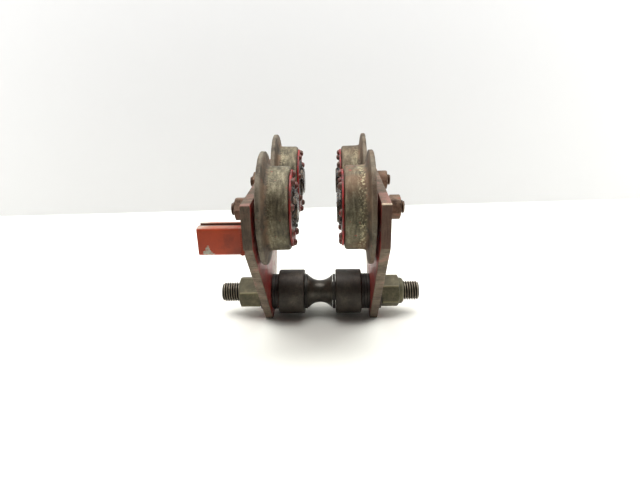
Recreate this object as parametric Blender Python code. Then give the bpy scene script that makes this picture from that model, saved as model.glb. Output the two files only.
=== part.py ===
"""Push trolley for a chain hoist: four flanged wheels that roll on the lower flange of an I-beam.

Two upright side plates carry two wheels each on their inner faces. One cross bolt ties the plates together and
carries a grooved bobbin for the hoist's hook, between two spacer collars. Washers beside each plate set the width.

Metres, +Z up. X runs along the load bolt, Y along the beam. The origin is on the floor under the middle of the
bolt. "left" is -X, "right" is +X, "front" is -Y and "rear" is +Y.
"""
import math

import bmesh
import bpy
from mathutils import Matrix, Vector

MM = 0.001

# Clearances
GAP = 0.3 * MM                    # between faces that bear on each other
THREAD_GAP = 0.3 * MM             # nut bore over thread
SLEEVE_GAP = 0.5 * MM             # sleeves and washers over the load bolt
PLATE_BOLT_GAP = 1.0 * MM         # side plate's hole over the load bolt
AXLE_HOLE_GAP = 0.5 * MM          # side plate's hole over the axle thread
HUB_GAP = 0.8 * MM                # cover plate's hole round the axle head
BALL_GAP = 0.7 * MM               # race groove round the balls

# Load bolt and what is strung on it
BOLT_RADIUS = 10.0 * MM
BOLT_LENGTH = 205.8 * MM
BOLT_CHAMFER = 1.5 * MM
BOBBIN_LENGTH = 25.8 * MM
BOBBIN_WAIST_WALL = 1.1 * MM
BOBBIN_GROOVE_DEPTH = 5.4 * MM
BOBBIN_RIM_LAND = 0.9 * MM
BOBBIN_ARC_STEPS = 6
BOBBIN_WASHER_LIP = 1.2 * MM      # washer beyond the bobbin's rim
BOBBIN_WASHER_THICK = 2.7 * MM
COLLAR_WALL = 12.65 * MM
COLLAR_LENGTH = 26.5 * MM
COLLAR_CHAMFER = 1.0 * MM
WASHER_WALL = 8.0 * MM
INNER_WASHER_THICK = {"left": 3.2 * MM, "right": 2.6 * MM}
INNER_WASHER_COUNT = {"left": 2, "right": 3}
OUTER_WASHER_THICK = 3.4 * MM
LOAD_NUT_WALL = 5.0 * MM          # from the thread to a flat
LOAD_NUT_HEX_HEIGHT = {"left": 22.0 * MM, "right": 18.4 * MM}
LOAD_NUT_COLLAR_HEIGHT = {"left": 0.0 * MM, "right": 4.8 * MM}
LOAD_NUT_COLLAR_WALL = 3.6 * MM   # from the thread to the round collar
LOAD_NUT_COLLAR_ROUND = 1.9 * MM
LOAD_NUT_TURN = {"left": 20.0, "right": 40.5}

# Side plates
PLATE_THICK = 8.0 * MM
PLATE_FOOT_HALF = 13.0 * MM
PLATE_TOP_RISE = 17.1 * MM        # plate top above the axles
PLATE_END_DROP = 20.1 * MM        # lower corner of the plate's end below the axles
PLATE_EDGE_CHAMFER = 0.6 * MM
COLLAR_FLOOR_GAP = 2.05 * MM

# Wheels. Distances are measured inwards from the side plate's inner face.
AXLE_RISE = 107.2 * MM            # axles above the load bolt
FLANGE_RADIUS = 49.8 * MM
TREAD_RADIUS = 37.1 * MM
WHEEL_GAP = 5.2 * MM              # between the two wheels of one side
WHEEL_BACK = 2.2 * MM
WHEEL_WIDTH = 25.8 * MM
FLANGE_TIP_START = 1.2 * MM
FLANGE_TIP_ROUND = 1.3 * MM
FLANGE_TIP_LAND = 1.6 * MM
FLANGE_ROOT = 6.4 * MM            # flange thickness where the fillet begins
FLANGE_FILLET = 3.2 * MM
TREAD_ROUND = 3.2 * MM
BEARING_OUTER_RADIUS = 23.2 * MM
BEARING_BORE_RADIUS = 10.0 * MM
BEARING_WIDTH = 14.0 * MM
BEARING_SHOULDER = 5.2 * MM       # wheel's rear lip behind the outer race
RACE_SHARE = 0.32                 # of the bearing's radial section, for each race outside its groove
BALL_SHARE = 0.275                # the same, for a ball's radius
CAGE_SHARE = 0.136                # the same, for the cage's thickness
BALL_COUNT = 8
CAGE_WIDTH = 9.2 * MM
COVER_THICK = 1.6 * MM
COVER_INSET = 0.4 * MM            # cover's edge inside the wheel's flat face
RIVET_COUNT = 8
RIVET_RADIUS = 3.15 * MM
RIVET_HEIGHT = 2.7 * MM
RIVET_SINK = 0.8 * MM
RIVET_EDGE_GAP = 0.1 * MM         # between a rivet head and the cover's rim
RIVET_DOME_SHARE = 0.45           # of the height that is upright, and of the radius that is flat on top
WHEEL_TURN = {"front_left": 17.0, "rear_left": 22.0, "front_right": 8.0, "rear_right": 0.0}

# Axle studs, nuts and washers
AXLE_THREAD_RADIUS = 6.0 * MM
AXLE_SHANK_GAP = 0.3 * MM
AXLE_HEAD_OVERLAP = 1.1 * MM      # axle head beyond the inner race's land
AXLE_HEAD_PROUD = 4.1 * MM        # axle head in front of the cover plate
AXLE_HEAD_CHAMFER = 1.2 * MM
AXLE_END_PROUD = 2.3 * MM
AXLE_END_CHAMFER = 1.0 * MM
AXLE_SPACER_WALL = 3.5 * MM
AXLE_NUT_WALL = 3.3 * MM          # from the thread to a flat
AXLE_NUT_HEIGHT = 10.8 * MM
LOCK_WASHER_WALL = 4.1 * MM
LOCK_WASHER_THICK = 2.8 * MM
LOCK_WASHER_SPLIT = 14.0          # degrees

# Tow arm, a lipped channel of bent sheet on the left plate
ARM_LENGTH = 35.5 * MM
ARM_DEPTH = 18.0 * MM
ARM_HEIGHT = 23.5 * MM
ARM_SHEET = 2.4 * MM
ARM_FRONT_LIP = 8.0 * MM
ARM_REAR_LIP = 5.0 * MM
ARM_INSET = 0.7 * MM              # front of the arm behind the plate's front end
ARM_DROP = 1.2 * MM               # top of the arm below the axles

# Facets round one turn
WHEEL_FACETS = 28
SLEEVE_FACETS = 24
BOLT_FACETS = 20
BEARING_FACETS = 16
RIVET_FACETS = 6

# What follows from the sizes above
SLEEVE_BORE = BOLT_RADIUS + SLEEVE_GAP
BOBBIN_WAIST_RADIUS = SLEEVE_BORE + BOBBIN_WAIST_WALL
BOBBIN_RIM_RADIUS = BOBBIN_WAIST_RADIUS + BOBBIN_GROOVE_DEPTH
BOBBIN_WASHER_RADIUS = BOBBIN_RIM_RADIUS + BOBBIN_WASHER_LIP
COLLAR_RADIUS = SLEEVE_BORE + COLLAR_WALL
WASHER_RADIUS = SLEEVE_BORE + WASHER_WALL
LOAD_NUT_FLATS = 2 * (BOLT_RADIUS + LOAD_NUT_WALL)
LOAD_NUT_COLLAR_RADIUS = BOLT_RADIUS + LOAD_NUT_COLLAR_WALL
AXLE_NUT_FLATS = 2 * (AXLE_THREAD_RADIUS + AXLE_NUT_WALL)
LOCK_WASHER_BORE = AXLE_THREAD_RADIUS + THREAD_GAP
BOLT_HEIGHT = COLLAR_RADIUS + COLLAR_FLOOR_GAP
AXLE_HEIGHT = BOLT_HEIGHT + AXLE_RISE
AXLE_OFFSET = FLANGE_RADIUS + WHEEL_GAP / 2
PLATE_HALF_LENGTH = AXLE_OFFSET + FLANGE_RADIUS
WHEEL_FACE = WHEEL_BACK + WHEEL_WIDTH
COVER_FACE = WHEEL_FACE + GAP + COVER_THICK
BEARING_BORE_WALL = BEARING_OUTER_RADIUS + GAP
BEARING_END = WHEEL_FACE - GAP
BEARING_START = BEARING_END - BEARING_WIDTH
BEARING_SECTION = BEARING_OUTER_RADIUS - BEARING_BORE_RADIUS
RACE_LAND = RACE_SHARE * BEARING_SECTION
BALL_RADIUS = BALL_SHARE * BEARING_SECTION
CAGE_THICK = CAGE_SHARE * BEARING_SECTION
BALL_CIRCLE = (BEARING_BORE_RADIUS + BEARING_OUTER_RADIUS) / 2
INNER_LAND_RADIUS = BEARING_BORE_RADIUS + RACE_LAND
OUTER_LAND_RADIUS = BEARING_OUTER_RADIUS - RACE_LAND
AXLE_SHANK_RADIUS = BEARING_BORE_RADIUS - AXLE_SHANK_GAP
AXLE_HEAD_RADIUS = INNER_LAND_RADIUS + AXLE_HEAD_OVERLAP
COVER_HOLE_RADIUS = AXLE_HEAD_RADIUS + HUB_GAP
COVER_RADIUS = TREAD_RADIUS - TREAD_ROUND - COVER_INSET
RIVET_CIRCLE = COVER_RADIUS - RIVET_RADIUS - RIVET_EDGE_GAP
SPACER_RADIUS = BEARING_BORE_RADIUS + AXLE_SPACER_WALL
WHEEL_BACK_HOLE = BEARING_BORE_WALL - BEARING_SHOULDER
AXLE_NUT_START = -PLATE_THICK - GAP - LOCK_WASHER_THICK - GAP
AXLE_END = AXLE_NUT_START - AXLE_NUT_HEIGHT - AXLE_END_PROUD

# Which way is inwards from each side plate
INWARD = {"left": 1.0, "right": -1.0}
STATIONS = {
    "front_left": ("left", -AXLE_OFFSET),
    "rear_left": ("left", AXLE_OFFSET),
    "front_right": ("right", -AXLE_OFFSET),
    "rear_right": ("right", AXLE_OFFSET),
}

# Finishes: colour, roughness, metallic
FINISHES = {
    "worn_steel": ((0.20, 0.18, 0.14), 0.55, 0.8),
    "red_paint": ((0.32, 0.03, 0.02), 0.4, 0.0),
    "arm_paint": ((0.42, 0.07, 0.03), 0.5, 0.0),
    "rusty_steel": ((0.13, 0.08, 0.05), 0.7, 0.5),
    "greasy_steel": ((0.02, 0.018, 0.015), 0.25, 0.6),
    "black_steel": ((0.035, 0.03, 0.025), 0.5, 0.6),
    "plated_steel": ((0.16, 0.15, 0.11), 0.45, 0.8),
    "bearing_steel": ((0.45, 0.44, 0.42), 0.25, 1.0),
}


def clear_scene():
    """Start from an empty scene."""
    for obj in list(bpy.data.objects):
        bpy.data.objects.remove(obj, do_unlink=True)


def paint(obj, finish):
    """Give an object its own Principled material."""
    colour, roughness, metallic = FINISHES[finish]
    material = bpy.data.materials.new(obj.name)
    material.use_nodes = True
    shader = material.node_tree.nodes["Principled BSDF"]
    shader.inputs["Base Color"].default_value = (*colour, 1.0)
    shader.inputs["Roughness"].default_value = roughness
    shader.inputs["Metallic"].default_value = metallic
    obj.data.materials.append(material)


def make_object(name, bm, place, finish):
    """Turn a bmesh into a named object at a place, shaded smooth up to 40 degrees."""
    mesh = bpy.data.meshes.new(name)
    bm.to_mesh(mesh)
    bm.free()
    mesh.shade_smooth()
    mesh.set_sharp_from_angle(angle=math.radians(40.0))
    obj = bpy.data.objects.new(name, mesh)
    obj.location = place
    bpy.context.collection.objects.link(obj)
    paint(obj, finish)
    return obj


def turned(profile, facets, turn=math.tau):
    """Spin a closed outline of (distance along X, radius) points about the X axis."""
    bm = bmesh.new()
    corners = [bm.verts.new((along, radius, 0.0)) for along, radius in profile]
    for start, end in zip(corners, corners[1:] + corners[:1]):
        if start.co.y > 0.0 or end.co.y > 0.0:
            bm.edges.new((start, end))
    whole = turn == math.tau
    bmesh.ops.spin(bm, geom=bm.verts[:] + bm.edges[:], cent=(0, 0, 0), axis=(1, 0, 0), dvec=(0, 0, 0),
                   angle=turn, steps=facets, use_merge=whole)
    bmesh.ops.remove_doubles(bm, verts=bm.verts, dist=0.001 * MM)
    if not whole:
        bmesh.ops.holes_fill(bm, edges=[edge for edge in bm.edges if edge.is_boundary], sides=len(profile))
    bmesh.ops.recalc_face_normals(bm, faces=bm.faces)
    return bm


def turn_about_x(bm, degrees):
    """Turn a mesh about its own X axis."""
    bmesh.ops.rotate(bm, verts=bm.verts, cent=(0, 0, 0), matrix=Matrix.Rotation(math.radians(degrees), 3, "X"))


def ring_profile(start, end, inner, outer, chamfer=0.0):
    """Outline of a plain ring, with its outer edges chamfered when asked."""
    if chamfer == 0.0:
        return [(start, inner), (start, outer), (end, outer), (end, inner)]
    return [
        (start, inner),
        (start, outer - chamfer),
        (start + chamfer, outer),
        (end - chamfer, outer),
        (end, outer - chamfer),
        (end, inner),
    ]


def arc_points(centre, radius, from_degrees, to_degrees, steps):
    """Points along an arc in the (along, radius) plane."""
    points = []
    for step in range(steps + 1):
        angle = math.radians(from_degrees + (to_degrees - from_degrees) * step / steps)
        points.append((centre[0] + radius * math.cos(angle), centre[1] + radius * math.sin(angle)))
    return points


def helper(name, bm, place):
    """A cutter or a piece to be joined on, which is not itself part of the model."""
    mesh = bpy.data.meshes.new(name)
    bm.to_mesh(mesh)
    bm.free()
    obj = bpy.data.objects.new(name, mesh)
    obj.location = place
    obj.hide_render = True
    obj.display_type = "WIRE"
    bpy.context.collection.objects.link(obj)
    return obj


def combine(obj, other, operation):
    """Join or cut one object with a helper."""
    modifier = obj.modifiers.new(other.name, "BOOLEAN")
    modifier.object = other
    modifier.operation = operation
    modifier.solver = "EXACT"


def hex_nut(hex_height, flats, bore, collar_height=0.0, collar_radius=0.0):
    """A hexagon nut whose corners are chamfered, with a round collar on its outer end when asked."""
    corner = flats / math.sqrt(3)
    chamfer = corner - flats / 2
    slope = chamfer / 2
    profile = [
        (0.0, bore),
        (0.0, flats / 2),
        (slope, corner),
        (hex_height - slope, corner),
        (hex_height, flats / 2),
    ]
    if collar_height > 0.0:
        top = hex_height + collar_height
        profile.append((hex_height, collar_radius))
        profile.append((top - LOAD_NUT_COLLAR_ROUND, collar_radius))
        profile.append((top, collar_radius - LOAD_NUT_COLLAR_ROUND))
        profile.append((top, bore))
    else:
        profile.append((hex_height, bore))
    bm = turned(profile, BOLT_FACETS)
    for flat in range(6):
        angle = math.radians(30.0 + 60.0 * flat)
        outward = Vector((0.0, math.cos(angle), math.sin(angle)))
        cut = bmesh.ops.bisect_plane(bm, geom=bm.verts[:] + bm.edges[:] + bm.faces[:], dist=0.001 * MM,
                                     plane_co=outward * (flats / 2 + 0.01 * MM), plane_no=outward,
                                     clear_outer=True)
        rim = [item for item in cut["geom_cut"] if isinstance(item, bmesh.types.BMEdge)]
        bmesh.ops.holes_fill(bm, edges=rim, sides=0)
    bmesh.ops.recalc_face_normals(bm, faces=bm.faces)
    return bm


def mirrored(bm, inward):
    """Point a shape made along +X the other way when inwards is -X."""
    if inward < 0.0:
        bmesh.ops.rotate(bm, verts=bm.verts, cent=(0, 0, 0), matrix=Matrix.Rotation(math.pi, 3, "Z"))
    return bm


def on_bolt(name, profile, side, start, facets, finish):
    """A turned piece on the load bolt, its inner end at a distance from the middle."""
    outward = -INWARD[side]
    bm = mirrored(turned(profile, facets), outward)
    return make_object(name, bm, (outward * start, 0.0, BOLT_HEIGHT), finish)


def washer(name, side, start, thick, radius):
    """A plain washer on the load bolt; returns where the next piece starts."""
    profile = ring_profile(0.0, thick, SLEEVE_BORE, radius)
    on_bolt(name, profile, side, start, BEARING_FACETS, "black_steel")
    return start + thick + GAP


def load_bolt():
    """The cross bolt, with its threads plain."""
    half = BOLT_LENGTH / 2
    profile = [
        (-half, 0.0),
        (-half, BOLT_RADIUS - BOLT_CHAMFER),
        (-half + BOLT_CHAMFER, BOLT_RADIUS),
        (half - BOLT_CHAMFER, BOLT_RADIUS),
        (half, BOLT_RADIUS - BOLT_CHAMFER),
        (half, 0.0),
    ]
    make_object("load_bolt", turned(profile, BOLT_FACETS), (0.0, 0.0, BOLT_HEIGHT), "plated_steel")


def hook_bobbin():
    """The grooved sleeve in the middle of the bolt."""
    half = BOBBIN_LENGTH / 2
    groove_half = half - BOBBIN_RIM_LAND
    depth = BOBBIN_RIM_RADIUS - BOBBIN_WAIST_RADIUS
    arc = (groove_half ** 2 + depth ** 2) / (2 * depth)
    spread = math.degrees(math.asin(groove_half / arc))
    groove = arc_points((0.0, BOBBIN_WAIST_RADIUS + arc), arc, 270.0 - spread, 270.0 + spread, BOBBIN_ARC_STEPS)
    profile = [(-half, SLEEVE_BORE), (-half, BOBBIN_RIM_RADIUS)]
    profile += groove
    profile += [(half, BOBBIN_RIM_RADIUS), (half, SLEEVE_BORE)]
    make_object("hook_bobbin", turned(profile, SLEEVE_FACETS), (0.0, 0.0, BOLT_HEIGHT), "black_steel")


def bolt_stack(side):
    """String one side's sleeves, washers and nut on the bolt; returns the plate's inner face."""
    at = BOBBIN_LENGTH / 2 + GAP
    at = washer("bobbin_washer_" + side, side, at, BOBBIN_WASHER_THICK, BOBBIN_WASHER_RADIUS)
    profile = ring_profile(0.0, COLLAR_LENGTH, SLEEVE_BORE, COLLAR_RADIUS, COLLAR_CHAMFER)
    on_bolt("spacer_collar_" + side, profile, side, at, SLEEVE_FACETS, "black_steel")
    at += COLLAR_LENGTH + GAP
    for number in range(INNER_WASHER_COUNT[side]):
        name = "inner_washer_{}_{}".format(side, number + 1)
        at = washer(name, side, at, INNER_WASHER_THICK[side], WASHER_RADIUS)
    plate_face = at
    at += PLATE_THICK + GAP
    at = washer("outer_washer_" + side, side, at, OUTER_WASHER_THICK, WASHER_RADIUS)
    nut = hex_nut(LOAD_NUT_HEX_HEIGHT[side], LOAD_NUT_FLATS, BOLT_RADIUS + THREAD_GAP,
                  LOAD_NUT_COLLAR_HEIGHT[side], LOAD_NUT_COLLAR_RADIUS)
    outward = -INWARD[side]
    nut = mirrored(nut, outward)
    turn_about_x(nut, -LOAD_NUT_TURN[side])
    make_object("load_nut_" + side, nut, (outward * at, 0.0, BOLT_HEIGHT), "plated_steel")
    return plate_face


def side_plate(side, face_x):
    """A cut plate with a hole for the load bolt and two for the axles."""
    outline = [
        (-PLATE_FOOT_HALF, 0.0),
        (PLATE_FOOT_HALF, 0.0),
        (PLATE_HALF_LENGTH, AXLE_HEIGHT - PLATE_END_DROP),
        (PLATE_HALF_LENGTH, AXLE_HEIGHT + PLATE_TOP_RISE),
        (-PLATE_HALF_LENGTH, AXLE_HEIGHT + PLATE_TOP_RISE),
        (-PLATE_HALF_LENGTH, AXLE_HEIGHT - PLATE_END_DROP),
    ]
    bm = bmesh.new()
    face = bm.faces.new([bm.verts.new((0.0, y, z - BOLT_HEIGHT)) for y, z in outline])
    grown = bmesh.ops.extrude_face_region(bm, geom=[face])
    moved = [item for item in grown["geom"] if isinstance(item, bmesh.types.BMVert)]
    bmesh.ops.translate(bm, verts=moved, vec=(-INWARD[side] * PLATE_THICK, 0.0, 0.0))
    bmesh.ops.recalc_face_normals(bm, faces=bm.faces)
    rim = [edge for edge in bm.edges if abs(edge.verts[0].co.x - edge.verts[1].co.x) < PLATE_THICK / 2]
    bmesh.ops.bevel(bm, geom=rim, affect="EDGES", offset=PLATE_EDGE_CHAMFER, segments=1, profile=0.5, material=-1)
    plate = make_object("side_plate_" + side, bm, (face_x, 0.0, BOLT_HEIGHT), "red_paint")
    holes = [(0.0, BOLT_HEIGHT, BOLT_RADIUS + PLATE_BOLT_GAP)]
    for y in (-AXLE_OFFSET, AXLE_OFFSET):
        holes.append((y, AXLE_HEIGHT, AXLE_THREAD_RADIUS + AXLE_HOLE_GAP))
    for number, (y, z, radius) in enumerate(holes):
        profile = [(-2 * PLATE_THICK, 0.0), (-2 * PLATE_THICK, radius), (2 * PLATE_THICK, radius),
                   (2 * PLATE_THICK, 0.0)]
        cutter = helper("hole_cutter_{}_{}".format(side, number), turned(profile, BOLT_FACETS), (face_x, y, z))
        combine(plate, cutter, "DIFFERENCE")


def tow_arm(face_x):
    """The lipped channel that stands out from the left plate, open at its end and along its top."""
    front = -PLATE_HALF_LENGTH + ARM_INSET
    rear = front + ARM_DEPTH
    top = AXLE_HEIGHT - ARM_DROP
    base = top - ARM_HEIGHT
    outline = [
        (front, base),
        (rear, base),
        (rear, top),
        (rear - ARM_REAR_LIP, top),
        (rear - ARM_REAR_LIP, top - ARM_SHEET),
        (rear - ARM_SHEET, top - ARM_SHEET),
        (rear - ARM_SHEET, base + ARM_SHEET),
        (front + ARM_SHEET, base + ARM_SHEET),
        (front + ARM_SHEET, top - ARM_SHEET),
        (front + ARM_FRONT_LIP, top - ARM_SHEET),
        (front + ARM_FRONT_LIP, top),
        (front, top),
    ]
    start = face_x - INWARD["left"] * (PLATE_THICK + GAP)
    bm = bmesh.new()
    face = bm.faces.new([bm.verts.new((0.0, y - front, z - base)) for y, z in outline])
    grown = bmesh.ops.extrude_face_region(bm, geom=[face])
    moved = [item for item in grown["geom"] if isinstance(item, bmesh.types.BMVert)]
    bmesh.ops.translate(bm, verts=moved, vec=(-INWARD["left"] * ARM_LENGTH, 0.0, 0.0))
    bmesh.ops.recalc_face_normals(bm, faces=bm.faces)
    make_object("tow_arm", bm, (start, front, base), "arm_paint")


def wheel_profile():
    """Half section of the wheel: back face, flange, tread, inner face and the bearing's seat."""
    tip = WHEEL_BACK + FLANGE_TIP_START
    root = WHEEL_BACK + FLANGE_ROOT
    fillet_end = root + FLANGE_FILLET * 0.8
    profile = [
        (WHEEL_BACK, WHEEL_BACK_HOLE),
        (WHEEL_BACK, FLANGE_RADIUS - 2 * FLANGE_TIP_ROUND),
        (tip, FLANGE_RADIUS - FLANGE_TIP_ROUND / 3),
        (tip + FLANGE_TIP_ROUND / 2, FLANGE_RADIUS),
        (tip + FLANGE_TIP_ROUND / 2 + FLANGE_TIP_LAND, FLANGE_RADIUS),
        (tip + FLANGE_TIP_ROUND + FLANGE_TIP_LAND, FLANGE_RADIUS - FLANGE_TIP_ROUND),
        (root, TREAD_RADIUS + FLANGE_FILLET),
        (root + FLANGE_FILLET * 0.25, TREAD_RADIUS + FLANGE_FILLET * 0.3),
        (fillet_end, TREAD_RADIUS),
    ]
    profile += arc_points((WHEEL_FACE - TREAD_ROUND, TREAD_RADIUS - TREAD_ROUND), TREAD_ROUND, 90.0, 0.0, 3)
    profile += [
        (WHEEL_FACE, BEARING_BORE_WALL),
        (BEARING_START - GAP, BEARING_BORE_WALL),
        (BEARING_START - GAP, WHEEL_BACK_HOLE),
    ]
    return profile


def race_profile(land, back, outer):
    """Half section of a bearing race, with the groove's arc cut into its land."""
    middle = (BEARING_START + BEARING_END) / 2
    groove = BALL_RADIUS + BALL_GAP
    half_angle = math.degrees(math.acos(abs(land - BALL_CIRCLE) / groove))
    centre = 90.0 if outer else 270.0
    arc = arc_points((middle, BALL_CIRCLE), groove, centre - half_angle, centre + half_angle, 3)
    if outer:
        arc.reverse()
    return [(BEARING_START, back), (BEARING_START, land)] + arc + [(BEARING_END, land), (BEARING_END, back)]


def ball_cage(station, side, place):
    """The cage ring joined with the balls that it holds."""
    middle = (BEARING_START + BEARING_END) / 2
    profile = ring_profile(middle - CAGE_WIDTH / 2, middle + CAGE_WIDTH / 2,
                           BALL_CIRCLE - CAGE_THICK / 2, BALL_CIRCLE + CAGE_THICK / 2)
    cage = make_object("ball_cage_" + station, mirrored(turned(profile, BEARING_FACETS), INWARD[side]), place,
                       "bearing_steel")
    balls = bmesh.new()
    for number in range(BALL_COUNT):
        angle = math.tau * (number + 0.5) / BALL_COUNT
        centre = Vector((middle, BALL_CIRCLE * math.cos(angle), BALL_CIRCLE * math.sin(angle)))
        bmesh.ops.create_icosphere(balls, subdivisions=1, radius=BALL_RADIUS, matrix=Matrix.Translation(centre))
    combine(cage, helper("balls_" + station, mirrored(balls, INWARD[side]), place), "UNION")


def cover_plate(station, side, place):
    """The thin ring that closes the bearing, joined with the heads of the rivets that hold it."""
    profile = ring_profile(WHEEL_FACE + GAP, COVER_FACE, COVER_HOLE_RADIUS, COVER_RADIUS)
    cover_mesh = mirrored(turned(profile, WHEEL_FACETS), INWARD[side])
    cover = make_object("cover_plate_" + station, cover_mesh, place, "red_paint")
    dome = [
        (COVER_FACE - RIVET_SINK, 0.0),
        (COVER_FACE - RIVET_SINK, RIVET_RADIUS),
        (COVER_FACE + RIVET_HEIGHT * RIVET_DOME_SHARE, RIVET_RADIUS),
        (COVER_FACE + RIVET_HEIGHT, RIVET_RADIUS * RIVET_DOME_SHARE),
        (COVER_FACE + RIVET_HEIGHT, 0.0),
    ]
    rivets = bmesh.new()
    for number in range(RIVET_COUNT):
        angle = math.tau * number / RIVET_COUNT + math.radians(WHEEL_TURN[station])
        head = turned(dome, RIVET_FACETS)
        offset = (0.0, -RIVET_CIRCLE * math.cos(angle), RIVET_CIRCLE * math.sin(angle))
        bmesh.ops.translate(head, verts=head.verts, vec=offset)
        mesh = bpy.data.meshes.new("rivet")
        head.to_mesh(mesh)
        head.free()
        rivets.from_mesh(mesh)
        bpy.data.meshes.remove(mesh)
    if INWARD[side] < 0.0:
        bmesh.ops.scale(rivets, verts=rivets.verts, vec=(-1.0, 1.0, 1.0))
        bmesh.ops.reverse_faces(rivets, faces=rivets.faces)
    combine(cover, helper("rivets_" + station, rivets, place), "UNION")


def axle_stud_profile():
    """Half section of the axle: round head, bearing shank and thread."""
    head_face = COVER_FACE + AXLE_HEAD_PROUD
    return [
        (head_face, 0.0),
        (head_face, AXLE_HEAD_RADIUS - AXLE_HEAD_CHAMFER),
        (head_face - AXLE_HEAD_CHAMFER, AXLE_HEAD_RADIUS),
        (BEARING_END + GAP, AXLE_HEAD_RADIUS),
        (BEARING_END + GAP, AXLE_SHANK_RADIUS),
        (GAP, AXLE_SHANK_RADIUS),
        (GAP, AXLE_THREAD_RADIUS),
        (AXLE_END + AXLE_END_CHAMFER, AXLE_THREAD_RADIUS),
        (AXLE_END, AXLE_THREAD_RADIUS - AXLE_END_CHAMFER),
        (AXLE_END, 0.0),
    ]


def wheel_station(station, face_x):
    """One wheel with its bearing and cover, and the axle that holds it to its plate."""
    side, y = STATIONS[station]
    place = (face_x, y, AXLE_HEIGHT)
    lock_start = -PLATE_THICK - GAP
    rings = [
        ("wheel_", wheel_profile(), WHEEL_FACETS, "worn_steel"),
        ("outer_race_", race_profile(OUTER_LAND_RADIUS, BEARING_OUTER_RADIUS, True), BEARING_FACETS,
         "bearing_steel"),
        ("inner_race_", race_profile(INNER_LAND_RADIUS, BEARING_BORE_RADIUS, False), BEARING_FACETS,
         "bearing_steel"),
        ("axle_spacer_", ring_profile(GAP, BEARING_START - GAP, BEARING_BORE_RADIUS, SPACER_RADIUS),
         BEARING_FACETS, "greasy_steel"),
        ("axle_stud_", axle_stud_profile(), BEARING_FACETS, "greasy_steel"),
    ]
    for name, profile, facets, finish in rings:
        make_object(name + station, mirrored(turned(profile, facets), INWARD[side]), place, finish)
    ball_cage(station, side, place)
    cover_plate(station, side, place)
    split = math.radians(LOCK_WASHER_SPLIT)
    lock_profile = ring_profile(lock_start - LOCK_WASHER_THICK, lock_start, LOCK_WASHER_BORE,
                                LOCK_WASHER_BORE + LOCK_WASHER_WALL)
    lock = turned(lock_profile, BEARING_FACETS, math.tau - split)
    make_object("lock_washer_" + station, mirrored(lock, INWARD[side]), place, "rusty_steel")
    nut = mirrored(hex_nut(AXLE_NUT_HEIGHT, AXLE_NUT_FLATS, AXLE_THREAD_RADIUS + THREAD_GAP), -INWARD[side])
    nut_x = face_x + INWARD[side] * AXLE_NUT_START
    make_object("axle_nut_" + station, nut, (nut_x, y, AXLE_HEIGHT), "rusty_steel")


def build_trolley():
    """Make every piece."""
    clear_scene()
    load_bolt()
    hook_bobbin()
    faces = {}
    for side in ("left", "right"):
        faces[side] = -INWARD[side] * bolt_stack(side)
        side_plate(side, faces[side])
    tow_arm(faces["left"])
    for station, (side, _) in STATIONS.items():
        wheel_station(station, faces[side])


build_trolley()
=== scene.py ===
import math
import random

import bmesh
import bpy
from mathutils import Matrix, Vector, noise


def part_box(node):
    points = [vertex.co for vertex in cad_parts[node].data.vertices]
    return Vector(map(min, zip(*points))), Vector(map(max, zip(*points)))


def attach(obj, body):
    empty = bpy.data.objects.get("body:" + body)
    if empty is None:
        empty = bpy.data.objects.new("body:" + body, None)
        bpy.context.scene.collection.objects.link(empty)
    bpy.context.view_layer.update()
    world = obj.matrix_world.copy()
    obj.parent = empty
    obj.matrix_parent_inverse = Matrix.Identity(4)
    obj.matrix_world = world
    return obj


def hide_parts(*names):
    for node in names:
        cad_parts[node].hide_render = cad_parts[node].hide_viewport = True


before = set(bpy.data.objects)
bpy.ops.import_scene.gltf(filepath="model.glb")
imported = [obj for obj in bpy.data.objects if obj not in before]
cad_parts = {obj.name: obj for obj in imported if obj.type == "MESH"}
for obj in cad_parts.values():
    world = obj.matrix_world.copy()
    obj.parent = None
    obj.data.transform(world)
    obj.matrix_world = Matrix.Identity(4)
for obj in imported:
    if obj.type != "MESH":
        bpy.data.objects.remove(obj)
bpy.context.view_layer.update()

MM = 0.001

# ---------------------------------------------------------------- sizes taken from the frame

INWARD = {"left": 1.0, "right": -1.0}
STATIONS = ("front_left", "rear_left", "front_right", "rear_right")
PLATE_BOX = {side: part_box("side_plate_" + side) for side in INWARD}
PLATE_FACE = {"left": PLATE_BOX["left"][1].x, "right": PLATE_BOX["right"][0].x}
PLATE_THICK = PLATE_BOX["left"][1].x - PLATE_BOX["left"][0].x
PLATE_TOP = PLATE_BOX["left"][1].z
PLATE_HALF_LENGTH = PLATE_BOX["left"][1].y
WHEEL_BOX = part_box("wheel_front_left")
SHOULDER = (WHEEL_BOX[0].z + WHEEL_BOX[1].z) / 2 - 20.1 * MM


def middle(node):
    """Middle of a node's box."""
    low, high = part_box(node)
    return (low + high) / 2


def half_width(node):
    """Half of a node's size along Y, which is a turned piece's radius."""
    low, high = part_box(node)
    return (high.y - low.y) / 2


BOLT_HEIGHT = middle("load_bolt").z
BOLT_MIDDLE = (0.0, 0.0, BOLT_HEIGHT)
BOLT_RADIUS = half_width("load_bolt")
FLANGE_RADIUS = half_width("wheel_front_left")
COVER_RADIUS = half_width("cover_plate_front_left")
AXLE_HEAD_RADIUS = half_width("axle_stud_front_left")


def side_of(station):
    return station.split("_")[1]


def axle_place(station):
    """Where a station's axle crosses its side plate's inner face."""
    centre = middle("wheel_" + station)
    return Vector((PLATE_FACE[side_of(station)], centre.y, centre.z))


def reach(node, station):
    """Distances of a node's two ends inwards from its side plate's inner face, nearest first."""
    low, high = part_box(node)
    side = side_of(station)
    ends = [(x - PLATE_FACE[side]) * INWARD[side] for x in (low.x, high.x)]
    return min(ends), max(ends)


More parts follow.
